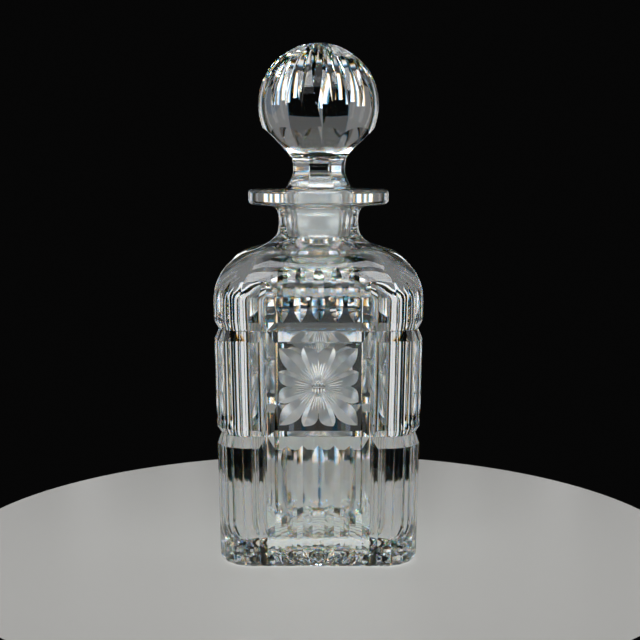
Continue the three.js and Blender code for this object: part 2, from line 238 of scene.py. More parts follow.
def through(points, steps):
    """Points of a smooth curve through the given tuples, `steps` to each span."""
    out = []
    for i in range(len(points) - 1):
        p0 = points[max(i - 1, 0)]
        p1, p2 = points[i], points[i + 1]
        p3 = points[min(i + 2, len(points) - 1)]
        for k in range(steps):
            t = k / steps
            out.append(
                tuple(
                    0.5
                    * (
                        2 * b
                        + (c - a) * t
                        + (2 * a - 5 * b + 4 * c - d) * t * t
                        + (3 * b - a - 3 * c + d) * t * t * t
                    )
                    for a, b, c, d in zip(p0, p1, p2, p3)
                )
            )
    out.append(points[-1])
    return out


def lerp(a, b, t):
    """The value a share t of the way from a to b."""
    return a + (b - a) * t


# ---------------------------------------------------------------- bottle blank

SIDES = 16  # four panels and three pillar facets at each corner
# Where the points of a facet stand along it.
SHARES = (0.0, 0.035, 0.12, 0.24, 0.37, 0.5, 0.63, 0.76, 0.88, 0.965)
# Outside of the shoulder from wall to neck, as shares of the rise and of the way in.
SHOULDER = (
    (0.0, 0.0),
    (0.16, 0.012),
    (0.285, 0.036),
    (0.39, 0.082),
    (0.487, 0.142),
    (0.564, 0.21),
    (0.642, 0.305),
    (0.713, 0.42),
    (0.763, 0.545),
    (0.815, 0.72),
    (0.905, 0.9),
    (1.0, 1.0),
)
# Inside of the shoulder from bore to wall, as shares of the drop and of the way out.
UNDER_SHOULDER = (
    (0.0, 0.0),
    (0.18, 0.06),
    (0.3, 0.2),
    (0.4, 0.42),
    (0.53, 0.68),
    (0.68, 0.87),
    (0.85, 0.97),
    (1.0, 1.0),
)


def section(z, a, r, rounded=1.0, dip=0.0):
    """Points of one level section: half width a, corner radius r, and `rounded` from 0, where
    each corner is three flat facets, to 1, where it is an arc. A dip lowers its corners."""
    flat = a - r
    reach = r * (1 + (1 - rounded) * (1 / math.cos(math.pi / SIDES) - 1))

    def at(angle):
        quarter = math.floor(angle / 90) % 4
        cx = (flat, -flat, -flat, flat)[quarter]
        cy = (flat, flat, -flat, -flat)[quarter]
        turn = math.radians(angle)
        return Vector((cx + reach * math.cos(turn), cy + reach * math.sin(turn)))

    points = []
    for side in range(SIDES):
        start = side * 360 / SIDES - 180 / SIDES
        stop = start + 360 / SIDES
        p, q = at(start), at(stop)
        for share in SHARES:
            chord = p.lerp(q, share)
            if share:
                chord = chord.lerp(at(lerp(start, stop, share)), rounded)
            points.append(chord)
    # The arris between two facets is a narrow round, not a knife edge.
    n = len(SHARES)
    for side in range(SIDES):
        k = side * n
        middle = (points[k - 1] + points[(k + 1) % len(points)]) / 2
        points[k] = points[k].lerp(middle, 0.5 * (1 - rounded))
    out = []
    for p in points:
        low = 0.0
        if dip and flat > 0:
            t = (p.length - a) / ((math.sqrt(2) - 1) * flat)
            t = min(max(t, 0.0), 1.0)
            low = dip * t * t * (3 - 2 * t)
        out.append(Vector((p.x, p.y, z - low)))
    return out


def wall_at(s, z):
    """Half width of the upright wall at height z."""
    t = (z - s.bevel_up) / (s.wall_height - s.bevel_up)
    return lerp(s.base_width, s.body_width, t) / 2


def bottle_rings(s, c):
    """Sections from the middle of the base, up the outside and down the inside."""
    rings = []

    def upright(z, inset):
        rings.append(section(z, wall_at(s, z) - inset, s.corner_radius - inset, 0.0))

    # The flat underside and the rounded base edge.
    for inset in (0.9, 0.5, 0.2):
        rings.append(section(0.0, (s.base_width / 2 - s.bevel_in) * (1 - inset),
                             (s.corner_radius - s.bevel_in) * (1 - inset), 0.0))
    for turn in (0, 15, 30, 45, 60, 75, 90):
        t = math.radians(turn)
        upright(s.bevel_up * (1 - math.cos(t)), s.bevel_in * (1 - math.sin(t)))
    upright(s.bevel_up + 0.8 * MM, 0.0)
    # The walls with their two level grooves, whose root and edges are eased.
    soft = EDGE_SOFTENING
    for z, up, down in (
        (c.lower_groove, LOWER_GROOVE_UP, LOWER_GROOVE_DOWN),
        (c.upper_groove, UPPER_GROOVE_UP, UPPER_GROOVE_DOWN),
    ):
        depth = c.groove_depth
        upright(z - down - 2 * soft, 0.0)
        upright(z - down - soft, 0.0)
        upright(z - down, depth * 0.015)
        upright(z - down + soft, depth * soft / down)
        upright(z - down + 2 * soft, depth * 2 * soft / down)
        upright(z - soft * 1.4, depth * (1 - soft * 1.4 / down))
        upright(z - soft * 0.5, depth * (1 - soft * 0.5 / down))
        upright(z, depth * 0.985)
        upright(z + soft * 0.5, depth * (1 - soft * 0.5 / up))
        upright(z + soft * 1.4, depth * (1 - soft * 1.4 / up))
        upright(z + up - 2 * soft, depth * 2 * soft / up)
        upright(z + up - soft, depth * soft / up)
        upright(z + up, depth * 0.015)
        upright(z + up + soft, 0.0)
        upright(z + up + 2 * soft, 0.0)
    # The shoulder, whose facets fade as it turns round.
    run = (s.body_width - s.neck_root) / 2
    shoulder = [(-0.12, -0.002)] + list(SHOULDER)
    for rise, inward in through(shoulder, 3)[3:-1]:
        z = s.wall_height + s.shoulder_rise * rise
        a = s.body_width / 2 - run * inward
        r = lerp(s.corner_radius, s.neck_root / 2, min(max(inward, 0.0), 1.0))
        rings.append(section(z, a, min(r, a), min(1.0, max(0.0, rise) * 2.2)))
    # The neck and the disc rim.
    root = s.wall_height + s.shoulder_rise
    waist = s.neck_diameter / 2
    rim = s.rim_diameter / 2
    under = root + s.neck_height
    top = under + s.rim_thickness
    outside = [
        (root, s.neck_root / 2),
        (root + s.neck_height * 0.16, waist + 0.45 * MM),
        (root + s.neck_height * 0.45, waist),
        (root + s.neck_height * 0.75, waist + 0.4 * MM),
        (under - 1.0 * MM, waist + 1.9 * MM),
        (under, waist + 5.0 * MM),
        (under + 0.5 * MM, rim - 3.4 * MM),
        (under + 0.9 * MM, rim - 1.5 * MM),
        (under + 1.7 * MM, rim - 0.4 * MM),
        (under + 2.9 * MM, rim),
        (top - s.rim_round * 0.8, rim),
        (top - s.rim_round * 0.25, rim - s.rim_round * 0.35),
        (top, rim - s.rim_round * 0.8),
    ]
    for z, a in through(outside, 4):
        rings.append(section(min(z, top), min(a, rim), min(a, rim)))
    mouth = s.bore_mouth / 2
    for a in (rim - s.rim_round - 0.4 * MM, rim - 5 * MM, mouth + 4 * MM, mouth + 1.4 * MM):
        rings.append(section(top, a, a))

    # The ground bore, then the inside of the shoulder and of the walls.
    def bore(z):
        return (s.bore_mouth - (top - z) * BORE_TAPER) / 2

    chamfer = BORE_CHAMFER
    for z, a in (
        (top, bore(top) + chamfer),
        (top - chamfer * 0.3, bore(top) + chamfer * 0.4),
        (top - chamfer, bore(top - chamfer)),
        (top - 2 * chamfer, bore(top - 2 * chamfer)),
    ):
        rings.append(section(z, a, a))
    end = root - s.throat_drop
    throat = bore(end)
    rings.append(section(end + 1 * MM, bore(end + 1 * MM), bore(end + 1 * MM)))
    inside = wall_at(s, s.wall_height) - s.wall
    for drop, outward in through([(-0.05, 0.004)] + list(UNDER_SHOULDER) + [(1.2, 0.995)], 4)[4:-4]:
        z = lerp(end, s.wall_height, drop)
        a = lerp(throat, inside, outward)
        rings.append(section(z, a, min(a, lerp(throat, s.inner_radius, min(outward, 1.0)))))
    low = s.floor + s.floor_round
    foot = wall_at(s, low) - s.wall
    for z, dip in ((low + 12 * MM, 0.0), (low + 6 * MM, 0.1), (low + 2.5 * MM, 0.2)):
        rings.append(section(z, wall_at(s, z) - s.wall, s.inner_radius, 1.0, s.corner_dip * dip))
    # The floor: it turns up into the walls, dips in the corners and rises in the middle.
    for turn in range(0, 91, 9):
        t = math.radians(turn)
        inset = s.floor_round * (1 - math.cos(t))
        rings.append(
            section(
                low - s.floor_round * math.sin(t),
                foot - inset,
                s.inner_radius - inset * 0.8,
                1.0,
                s.corner_dip * (0.3 + 0.7 * math.sin(t)),
            )
        )
    edge = foot - s.floor_round
    for share in (0.88, 0.74, 0.6, 0.45, 0.3, 0.15, 0.05):
        a = edge * share
        z = s.floor + s.kick_up * (1 - share * share)
        r = lerp(a, (s.inner_radius - s.floor_round * 0.8) * share, share)
        rings.append(section(z, a, min(r, a), 1.0, s.corner_dip * share ** 2))
    return rings


# ---------------------------------------------------------------- wheel cuts


def on_panel(s, n, x, z, outward):
    """A point of panel n: across it, up it, and out from the wall."""
    point = Vector((x, -(wall_at(s, z) + outward), z))
    return Matrix.Rotation(math.radians(90 * n), 3, "Z") @ point


def mitre(bm, path, opening, stand):
    """The way of a V-edged wheel: path is a list of (root, out, across), and the V opens
    outwards from each root to a height of `stand`, one height or a list of them. Its opening
    is a half angle, or the run of each side for a rise of one."""
    heights = stand if isinstance(stand, list) else [stand] * len(path)
    if isinstance(opening, tuple):
        left, right = opening
    else:
        left = right = math.tan(math.radians(opening))
    draw_through(
        bm,
        [
            [root, root + out * h + across * h * left, root + out * h - across * h * right]
            for (root, out, across), h in zip(path, heights)
        ],
    )


def panel_mitre(bm, s, n, x, path, width, depth, stand=3 * MM):
    """An upright V cut on panel n through (height, depth of root) points."""
    turn = Matrix.Rotation(math.radians(90 * n), 3, "Z")
    out = turn @ Vector((0, -1, 0))
    across = turn @ Vector((1, 0, 0))
    half_angle = math.degrees(math.atan2(width / 2, depth))
    mitre(bm, [(on_panel(s, n, x, z, -d), out, across) for z, d in path], half_angle, stand)


def side_grooves(s, c):
    """Two upright grooves on each side, which part its panels from the corner pillars."""
    bm = bmesh.new()
    for n in range(4):
        for x in (-c.side_groove, c.side_groove):
            path = [(-4 * MM, c.side_depth), (s.wall_height + 22 * MM, c.side_depth)]
            panel_mitre(bm, s, n, x, path, c.side_width, c.side_depth, 6 * MM)
    return finished(bm, "side_grooves")


def upper_flutes(s, c):
    """Flutes over the upper groove, which run up and out over the shoulder."""
    low = c.upper_groove + 4.3 * MM
    shoulder = (
        (8, 1.0), (12, 1.05), (15, 1.35), (17.5, 1.9), (20, 2.75), (22, 3.5), (24, 4.1), (27, 4.6),
    )
    bm = bmesh.new()
    for n in range(4):
        for i in range(c.flutes):
            x = (i - (c.flutes - 1) / 2) * c.upper_pitch
            path = [(low - 1.5 * MM, -0.7 * MM)]
            for k in range(0, 7):
                t = k / 6
                path.append((low + 7 * MM * t, c.upper_depth * (1 - (1 - t) ** 2)))
            for up, deep in through(shoulder, 3)[1:]:
                path.append((low + up * MM, c.upper_depth * deep))
            panel_mitre(bm, s, n, x, path, c.upper_width, c.upper_depth, 6.2 * MM)
    return finished(bm, "upper_flutes")


def lower_flutes(s, c):
    """Flutes from the foot of each side to just over the lower groove's edge."""
    foot = c.lower_groove - LOWER_GROOVE_DOWN
    bm = bmesh.new()
    for n in range(4):
        for i in range(c.flutes):
            x = (i - (c.flutes - 1) / 2) * c.lower_pitch
            path = [(-4 * MM, c.lower_depth), (foot - 6 * MM, c.lower_depth)]
            for k in range(1, 10):
                t = k / 8
                path.append((foot + lerp(-5, 3.0, t) * MM, c.lower_depth * (1 - t * t)))
            panel_mitre(bm, s, n, x, path, c.lower_width, c.lower_depth, 3.2 * MM)
    return finished(bm, "lower_flutes")


def star_middle(c):
    """Height of the middle of the stars."""
    return (c.lower_groove + LOWER_GROOVE_UP + c.upper_groove - UPPER_GROOVE_DOWN) / 2


def leaf_angles(c):
    """Angle, tip radius, waist radius, bluntness and the angles to the ridges on either side
    of every leaf of a star: one leaf at each corner with a shorter one on either side."""
    lean = math.radians(c.leaf_lean)
    ridge = math.radians(LEAF_RIDGE)
    leaves = []
    for quarter in range(4):
        middle = math.pi / 2 * (quarter + 0.5)
        leaves.append((middle, c.corner_leaf, c.star_radius * 1.2, 2.3, ridge, ridge))
        outer, inner = lean - ridge, math.pi / 4 - lean
        leaves.append((middle + lean, c.side_leaf, c.star_radius, 3.4, inner, outer))
        leaves.append((middle - lean, c.side_leaf, c.star_radius, 3.4, outer, inner))
    return leaves


def star_stations(s, c, n, angle, path):
    """Root points of a cut running out from the middle of the star on panel n."""
    turn = Matrix.Rotation(math.radians(90 * n), 3, "Z")
    ca, sa = math.cos(angle), math.sin(angle)
    out = turn @ Vector((0, -1, 0))
    across = turn @ Vector((-sa, 0, ca))
    middle = star_middle(c)
    return [(on_panel(s, n, r * ca, middle + r * sa, -d), out, across) for r, d in path]


def face_star(s, c, first):
    """Every other leaf of the stars from the first, with one star on each middle panel."""
    bm = bmesh.new()
    for n in range(4):
        for angle, tip, waist, blunt, left, right in sorted(leaf_angles(c))[first::2]:
            deep = c.leaf_depth * waist / c.star_radius
            path = [(lerp(3.0 * MM, waist, k / 5), deep * lerp(3.0 * MM / waist, 1, k / 5))
                    for k in range(5)]
            for k in range(0, 15):
                t = k / 14
                path.append((lerp(waist, tip, t), deep * (1 - t ** blunt)))
            path.append((tip + 0.5 * MM, -0.35 * MM))
            heights = [max(d, 0.0) + 0.06 * MM for r, d in path[:-1]] + [0.42 * MM]
            slopes = (math.tan(left) * waist / deep, math.tan(right) * waist / deep)
            mitre(bm, star_stations(s, c, n, angle, path), slopes, heights)
    return finished(bm, "face_star")


def fine_star(s, c, turns, start, stop, sink, half_angle):
    """Fine mitres radiating round the middle of each star, in the surface the leaves left."""
    leaves = leaf_angles(c)

    def surface(angle, r):
        """Depth that the leaves leave at an angle, at radius r."""
        deepest = 0.0
        for middle, tip, waist, blunt, left, right in leaves:
            away = (angle - middle + math.pi) % (2 * math.pi) - math.pi
            side = left if away > 0 else right
            if abs(away) < side:
                depth = c.leaf_depth * r / c.star_radius
                deepest = max(deepest, depth * (1 - math.tan(abs(away)) / math.tan(side)))
        return deepest

    bm = bmesh.new()
    for n in range(4):
        for angle in turns:
            path = []
            for k in range(0, 9):
                t = k / 8
                r = lerp(start, stop, t)
                deep = sink * math.sin(math.pi * t) ** 0.5 - 0.02 * MM
                path.append((r, surface(angle, r) + deep))
            opened = math.tan(math.radians(half_angle))
            mitre(bm, star_stations(s, c, n, angle, path), (opened, opened), sink + 0.15 * MM)
    return finished(bm, "fine_star")


def button(s, c, lines, deep, half_angle=52.0):
    """Short mitres across the button in the middle of each star, as (x, z, x, z) in mm."""
    bm = bmesh.new()
    for n in range(4):
        turn = Matrix.Rotation(math.radians(90 * n), 3, "Z")
        out = turn @ Vector((0, -1, 0))
        for x0, z0, x1, z1 in lines:
            along = Vector((x1 - x0, z1 - z0)).normalized()
            across = turn @ Vector((-along.y, 0, along.x))
            path = []
            for k in range(0, 7):
                t = k / 6
                x, z = lerp(x0, x1, t) * MM, star_middle(c) + lerp(z0, z1, t) * MM
                d = deep * math.sin(math.pi * t) ** 0.4 - 0.02 * MM
                path.append((on_panel(s, n, x, z, -d), out, across))
            mitre(bm, path, half_angle, deep + 0.1 * MM)
    return finished(bm, "button")


def base_star(s, c, offset, start, waist, tip, deep, half_angle):
    """Rays cut into the underside, turned by a share of the angle between them."""
    pitch = 2 * math.pi / c.base_rays
    bm = bmesh.new()
    for i in range(c.base_rays):
        angle = (i + 0.5 + offset) * pitch
        along = Vector((math.cos(angle), math.sin(angle), 0))
        across = Vector((-math.sin(angle), math.cos(angle), 0))
        path = []
        for k in range(0, 5):
            r = lerp(start, waist, k / 5)
            path.append((r, deep * r / waist))
        for k in range(0, 9):
            t = k / 8
            path.append((lerp(waist, tip, t), deep * (1 - t ** 1.9)))
        path.append((tip + 1 * MM, -0.3 * MM))
        stations = [(along * r + Vector((0, 0, d)), Vector((0, 0, -1)), across) for r, d in path]
        mitre(bm, stations, half_angle, 2.4 * MM)
    return finished(bm, "base_star")


def finish_faces(piece, choose):
    """Gives every face the material slot that `choose` picks for its middle."""
    for face in piece.data.polygons:
        face.material_index = choose(face.center)


def bottle_finish(s, c, centre):
    """0 polished, 1 satin leaves of the stars, 2 ground bore."""
    top = s.wall_height + s.shoulder_rise + s.neck_height + s.rim_thickness
    if centre.z > s.wall_height + s.shoulder_rise - s.throat_drop + 0.5 * MM:
        inside = centre.to_2d().length < s.bore_mouth / 2 + 0.1 * MM
        return 2 if inside and centre.z < top - 1 * MM else 0
    x, y = sorted((abs(centre.x), abs(centre.y)))
    up = centre.z - star_middle(c)
    deep = wall_at(s, centre.z) - y
    on_star = max(x, abs(up)) < c.side_groove - c.side_width / 2 and math.hypot(x, up) < STAR_REACH
    return 1 if on_star and 0.03 * MM < deep < 3 * MM else 0


class DECANTER_OT_bottle(bpy.types.Operator):
    """Draws the bottle blank and makes its wheel cuts"""

    bl_idname = "decanter.bottle"
    bl_label = "Bottle"

    def execute(self, context):
        s = context.scene.decanter_bottle
        c = context.scene.decanter_cuts
        bm = bmesh.new()
        draw_through(bm, bottle_rings(s, c))
        bottle = finished(bm, "crystal_bottle")
        boolean(bottle, side_grooves(s, c))
        boolean(bottle, upper_flutes(s, c))
        boolean(bottle, lower_flutes(s, c))
        boolean(bottle, face_star(s, c, 0))
        boolean(bottle, face_star(s, c, 1))
        fine = [math.radians(360 / NEEDLES * k) for k in range(NEEDLES)]
        for first, reach in enumerate(NEEDLE_REACH):
            turns = fine[first :: len(NEEDLE_REACH)]
            boolean(
                bottle,
                fine_star(
                    s, c, turns, start=4.0 * MM, stop=reach * MM, sink=0.32 * MM, half_angle=50.0
                ),
            )
        ribs = [(i * 1.3, -0.5, i * 1.3, -3.6 + 0.22 * i * i) for i in (-2, -1, 0, 1, 2)]
        boolean(bottle, button(s, c, ribs, deep=0.34 * MM))
        for lean in (1, -1):
            slants = [
                (lean * (i - 1.2), 0.5, lean * (i + 0.9), 3.6 - 0.3 * abs(i))
                for i in (-2, -0.6, 0.8, 2.2)
            ]
            boolean(bottle, button(s, c, slants, deep=0.3 * MM))
        boolean(bottle, button(s, c, [(-3.6, 0.0, 3.6, 0.0)], deep=0.3 * MM))
        # Rays: offset, start, waist, tip, depth and half angle.
        for ray in (
            (0.0, 1.2 * MM, 26 * MM, c.base_radius, 1.6 * MM, 64.5),
            (0.5, 5 * MM, 24 * MM, 34 * MM, 0.8 * MM, 45.0),
        ):
            boolean(bottle, base_star(s, c, *ray))
        faceted(bottle)
        bottle.data.materials.append(lead_crystal(context.scene.decanter_finish))
        bottle.data.materials.append(satin_crystal(context.scene.decanter_finish))
        bottle.data.materials.append(ground_crystal(context.scene.decanter_finish))
        finish_faces(bottle, lambda centre: bottle_finish(s, c, centre))
        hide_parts("decanter_body")
        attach(bottle, "bottle")
        return {"FINISHED"}


# ---------------------------------------------------------------- stopper


def panelled(z, apothem, sides, turn, rounded=0.0, steps=(0.0, 0.04, 0.2, 0.4, 0.6, 0.8, 0.96)):
    """A level section with flat sides, softened to a circle by `rounded`."""
    reach = apothem / math.cos(math.pi / sides)
    corners = [
        Vector((math.cos(a), math.sin(a))) * lerp(reach, apothem, rounded)
        for a in (turn + 2 * math.pi * (k + 0.5) / sides for k in range(sides + 1))
    ]
    points = []
    for k in range(sides):
        for share in steps:
            p = corners[k].lerp(corners[k + 1], share)
            points.append(p.lerp(p.normalized() * apothem, rounded))
    for k in range(sides):
        i = k * len(steps)
        middle = (points[i - 1] + points[i + 1]) / 2
        points[i] = points[i].lerp(middle, 0.5 * (1 - rounded))
    return [Vector((p.x, p.y, z)) for p in points]


class DECANTER_OT_stopper(bpy.types.Operator):
    """Draws the stopper's ball, panelled neck and ground peg, and flutes the ball"""

    bl_idname = "decanter.stopper"
    bl_label = "Stopper"

    def execute(self, context):
        s = context.scene.decanter_stopper
        b = context.scene.decanter_bottle
        rim = b.wall_height + b.shoulder_rise + b.neck_height + b.rim_thickness
        radius = s.ball / 2
        centre = Vector((0, 0, rim + s.ball_rise))
        bm = bmesh.new()
        bmesh.ops.create_uvsphere(bm, u_segments=192, v_segments=96, radius=radius)
        bmesh.ops.translate(bm, verts=bm.verts, vec=centre)
        stopper = finished(bm, "crystal_stopper")
        top, bottom = (math.radians(angle) for angle in FLUTE_ENDS)
        half = (bottom - top) / 2
        chord = radius * math.sin(half)
        sag = radius * (1 - math.cos(half)) - s.flute_depth
        sweep = (chord * chord + sag * sag) / (2 * sag)
        tilt = (bottom + top) / 2
        back = radius - s.flute_depth - sweep
        reach = math.asin(chord / sweep) + math.radians(4)
        for i in range(s.flutes):
            turn = Matrix.Rotation(math.radians(i * 360 / s.flutes - 90 - FLUTE_TURN), 3, "Z")
            path = []
            for k in range(41):
                angle = tilt + lerp(-reach, reach, k / 40)
                out = Vector((math.sin(angle), 0, math.cos(angle)))
                hub = Vector((math.sin(tilt), 0, math.cos(tilt))) * back
                path.append(
                    (centre + turn @ (hub + out * sweep), turn @ out, turn @ Vector((0, 1, 0)))
                )
            bm = bmesh.new()
            mitre(bm, path, FLUTE_HALF_ANGLE, 4 * MM)
            boolean(stopper, finished(bm, "ball_flute"))
        sides = STOPPER_PANELS
        turn = math.radians(PANEL_TURN - 90)
        waist = s.waist / 2
        collar = s.collar / 2
        gap = SEAT_GAP
        # Half widths across the flats, over the rim: collar, waist, and the panels' sweep out
        # into the underside of the ball, where they run out in eight pointed arches.
        profile = [
            (gap + 1.0 * MM, collar - 0.3 * MM),
            (s.waist_rise * 0.5, waist + 1.1 * MM),
            (s.waist_rise * 0.8, waist + 0.2 * MM),
            (s.waist_rise, waist),
            (s.waist_rise + 3.0 * MM, waist + 0.2 * MM),
            (s.waist_rise + 6.0 * MM, waist + 1.1 * MM),
            (s.waist_rise + 9.3 * MM, waist + 3.7 * MM),
            (s.waist_rise + 12.7 * MM, waist + 7.4 * MM),
            (s.waist_rise + 16.0 * MM, waist + 10.7 * MM),
            (s.waist_rise + 18.9 * MM, waist + 13.9 * MM),
            (s.waist_rise + 22.0 * MM, waist + 18.0 * MM),
        ]

        def peg(z):
            return (b.bore_mouth + z * BORE_TAPER) / 2 - s.joint_gap

        end = -s.peg_length
        chamfer = PEG_CHAMFER
        stations = []
        for z, a in (
            (end, (peg(end) - chamfer) * 0.2),
            (end, (peg(end) - chamfer) * 0.9),
            (end, peg(end) - chamfer),
            (end + chamfer * 0.4, peg(end) - chamfer * 0.35),
            (end + chamfer, peg(end)),
            (end + 2 * chamfer, peg(end + 2 * chamfer)),
            (-1.0 * MM, peg(-1.0 * MM)),
            (gap * 0.6, peg(0)),
            (gap, peg(0) + 0.4 * MM),
        ):
            stations.append(panelled(rim + z, a, sides, turn, 1.0))
        stations.append(panelled(rim + gap, collar - 0.6 * MM, sides, turn))
        stations.append(panelled(rim + gap + 0.15 * MM, collar - 0.1 * MM, sides, turn))
        stations.append(panelled(rim + gap + 0.5 * MM, collar, sides, turn))
        for z, a in through(profile, 5):
            stations.append(panelled(rim + z, a, sides, turn))
        stations.append(panelled(rim + s.ball_rise + radius + 9 * MM, radius * 1.2, sides, turn))
        bm = bmesh.new()
        wide = radius * 1.5
        bmesh.ops.create_cone(
            bm, cap_ends=True, segments=64, radius1=wide, radius2=wide, depth=BLANK_DEPTH
        )
        low = rim + s.waist_rise + 6.8 * MM - BLANK_DEPTH / 2
        bmesh.ops.translate(bm, verts=bm.verts, vec=(0, 0, low))
        boolean(stopper, finished(bm, "blank_below_ball"), "UNION")
        bm = bmesh.new()
        draw_through(bm, stations)
        boolean(stopper, finished(bm, "stopper_panels"), "INTERSECT")
        faceted(stopper)
        stopper.data.materials.append(lead_crystal(context.scene.decanter_finish))
        stopper.data.materials.append(ground_crystal(context.scene.decanter_finish))
        low, top = rim - s.peg_length + 1 * MM, rim - 1.0 * MM
        finish_faces(stopper, lambda centre: int(low < centre.z < top))
        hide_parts("stopper")
        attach(stopper, "stopper")
        return {"FINISHED"}


# ---------------------------------------------------------------- finishes


def linear(hex_colour):
    """sRGB hex to linear RGBA."""
    parts = [int(hex_colour.lstrip("#")[i : i + 2], 16) / 255 for i in (0, 2, 4)]
    return [p / 12.92 if p <= 0.04045 else ((p + 0.055) / 1.055) ** 2.4 for p in parts] + [1.0]


def add_node(material, kind, settings=(), sockets=(), links=()):
    """Adds a node, sets its properties and sockets, and links other nodes' outputs to it."""
    node = material.node_tree.nodes.new(kind)
    for name, value in dict(settings).items():
        setattr(node, name, value)
    for name, value in dict(sockets).items():
        node.inputs[name].default_value = value
    for name, output in dict(links).items():
        material.node_tree.links.new(output, node.inputs[name])
    return node


# The colour bands of the glass: share of red, green and blue, and how the IOR leans.
BANDS = (((0.65, 0.6, 0.65), 0.0), ((0.3, 0.2, 0.05), -1.0), ((0.05, 0.2, 0.3), 1.0))
FROST_COLOUR = "#E6E9E9"
SHADOW_COLOUR = "#FAFBFB"


def crystal(f, name, roughness, wave, frost=0.0):
    """Glass in three colour bands, each bent a little differently, with the faint unevenness
    that polishing leaves, waves of `wave` mm, and a share of white scatter where frosted."""
    if name in bpy.data.materials:
        return bpy.data.materials[name]
    material = bpy.data.materials.new(name)
    material.use_nodes = True
    material.node_tree.nodes.clear()
    place = add_node(material, "ShaderNodeTexCoord")
    ripple = add_node(
        material,
        "ShaderNodeTexNoise",
        settings={"noise_dimensions": "3D"},
        sockets={"Scale": 1 / (wave * MM), "Detail": 1.0, "Roughness": 0.4},
        links={"Vector": place.outputs["Object"]},
    )
    bump = add_node(
        material,
        "ShaderNodeBump",
        sockets={"Strength": 0.5, "Distance": 0.05 * MM},
        links={"Height": ripple.outputs["Fac"]},
    )
    tint = linear(f.glass_tint)
    shader = None
    for share, lean in BANDS:
        colour = [tint[i] * share[i] for i in range(3)] + [1.0]
        glass = add_node(
            material,
            "ShaderNodeBsdfGlass",
            sockets={"Color": colour, "Roughness": roughness, "IOR": f.ior + f.spread * lean},
            links={"Normal": bump.outputs["Normal"]},
        )
        if shader is None:
            shader = glass.outputs["BSDF"]
        else:
            both = add_node(material, "ShaderNodeAddShader")
            material.node_tree.links.new(shader, both.inputs[0])
            material.node_tree.links.new(glass.outputs["BSDF"], both.inputs[1])
            shader = both.outputs["Shader"]
    if frost:
        white = add_node(
            material, "ShaderNodeBsdfDiffuse", sockets={"Color": linear(FROST_COLOUR)}
        )
        both = add_node(material, "ShaderNodeMixShader", sockets={"Fac": frost})
        material.node_tree.links.new(shader, both.inputs[1])
        material.node_tree.links.new(white.outputs["BSDF"], both.inputs[2])
        shader = both.outputs["Shader"]
    # Shadow rays pass straight through, so the floor and the joint inside the neck are lit.
    path = add_node(material, "ShaderNodeLightPath")
    clear = add_node(
        material, "ShaderNodeBsdfTransparent", sockets={"Color": linear(SHADOW_COLOUR)}
    )
    surface = add_node(
        material, "ShaderNodeMixShader", links={"Fac": path.outputs["Is Shadow Ray"]}
    )
    material.node_tree.links.new(shader, surface.inputs[1])
    material.node_tree.links.new(clear.outputs["BSDF"], surface.inputs[2])
    add_node(
        material, "ShaderNodeOutputMaterial", links={"Surface": surface.outputs["Shader"]}
    )
    return material


def lead_crystal(f):
    """Fire-polished lead crystal: clear and heavy, with a play of colour at its edges."""
    return crystal(f, "polished_lead_crystal", roughness=0.0, wave=9.0)


def satin_crystal(f):
    """Wheel-cut leaves left with a silky, not quite clear surface: the stars look grey."""
    return crystal(f, "satin_wheel_cut", roughness=0.3, wave=1.2, frost=0.07)


def ground_crystal(f):
    """Ground stopper joint: fine frosting where the peg sits in the neck."""
    return crystal(f, "ground_joint", roughness=0.18, wave=0.6, frost=0.12)


# Strips behind the ball, as (glow, width, height, distance from the middle, height of middle):
# uneven, so that the flutes of the ball split them into streaks of different lengths.
BEHIND_BALL = (
    (1.3, 0.012, 0.1, 0.085, 0.16),
    (1.7, 0.02, 0.16, 0.12, 0.13),
    (1.3, 0.016, 0.17, 0.165, 0.15),
    (1.7, 0.03, 0.2, 0.21, 0.12),
    (1.3, 0.022, 0.22, 0.27, 0.14),
    (1.7, 0.04, 0.26, 0.34, 0.12),
)


